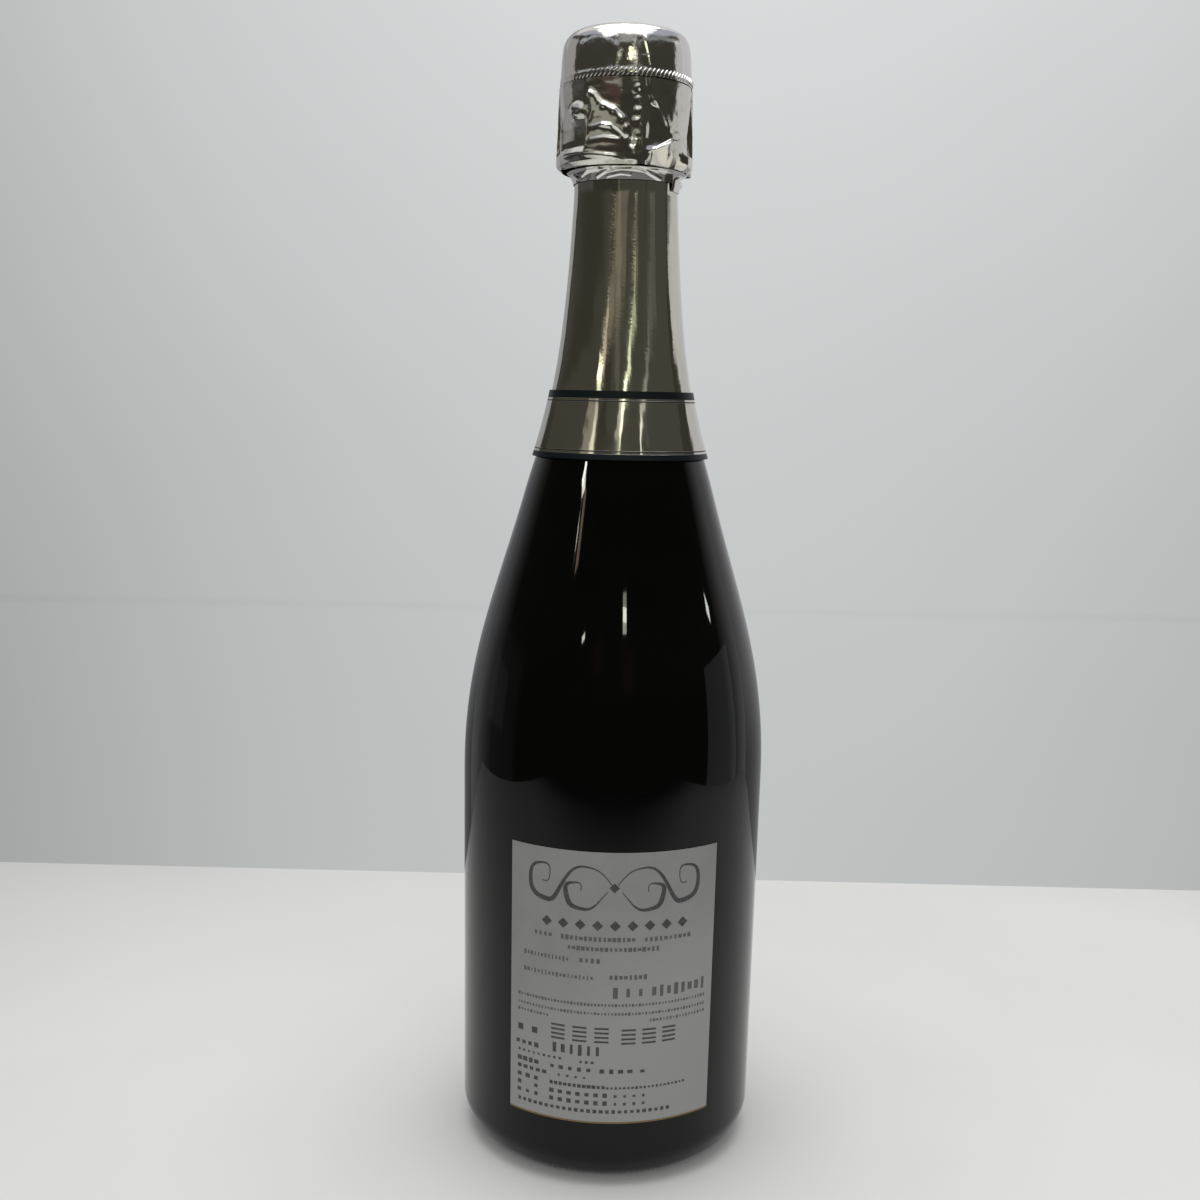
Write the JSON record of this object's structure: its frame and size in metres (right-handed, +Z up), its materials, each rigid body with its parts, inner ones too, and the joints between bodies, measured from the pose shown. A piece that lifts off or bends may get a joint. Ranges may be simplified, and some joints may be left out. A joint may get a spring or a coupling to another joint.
{
  "type": "champagne bottle",
  "caption": "Closed 75 cl sparkling-wine bottle with a deep punt: dark glass, wine, disc cork, wire muselet under a foil capsule, neck band and paper back label.",
  "frame": {"origin": "on the bottle's axis, in the plane that its base stands on", "axes": "+Z up along the bottle's axis from the base to the foil's top; -Y out through the middle of the back label; +X to the right of someone who reads that label"},
  "size_m": [0.0886, 0.0893, 0.317],
  "materials": {
    "dark_green_glass": "gloss",
    "wine": "gloss",
    "pressed_cork": "matte",
    "disc_cork": "matte",
    "lacquered_plate": "satin",
    "cage_wire": "satin",
    "capsule_foil": "gloss",
    "neck_foil": "gloss",
    "band_foil": "gloss",
    "label_paper": "matte"
  },
  "bodies": {
    "bottle": {"glass_bottle": "dark_green_glass", "wine_fill": "wine", "foil_neck_sleeve": "neck_foil", "foil_tear_strip": "capsule_foil", "neck_band": "band_foil", "back_label": "label_paper"},
    "cork": {"cork_body": "pressed_cork", "cork_disc_upper": "disc_cork", "cork_disc_lower": "disc_cork"},
    "muselet": {"muselet_plate": "lacquered_plate", "muselet_hood_wire": "cage_wire", "muselet_belt_wire": "cage_wire"},
    "foil_cap": {"foil_hood": "capsule_foil", "foil_top": "capsule_foil"},
    "tear_tab": {"foil_pull_tab": "capsule_foil"}
  },
  "joints": [
    {"name": "cork_pull", "type": "slide", "parent": "bottle", "child": "cork", "axis": [0, 0, 1], "range_m": [0, 0.03]},
    {"name": "muselet_lift", "type": "slide", "parent": "cork", "child": "muselet", "axis": [0, 0, 1], "range_m": [0, 0.038], "deforming": ["muselet_hood_wire", "muselet_belt_wire"]},
    {"name": "foil_cap_lift", "type": "slide", "parent": "muselet", "child": "foil_cap", "axis": [0, 0, 1], "range_m": [0, 0.038]},
    {"name": "pull_tab_lift", "type": "hinge", "parent": "bottle", "child": "tear_tab", "pos_m": [0.01233, -0.00863, 0.2775], "axis": [0, 0, -1], "range_deg": [0, 110]}
  ]
}
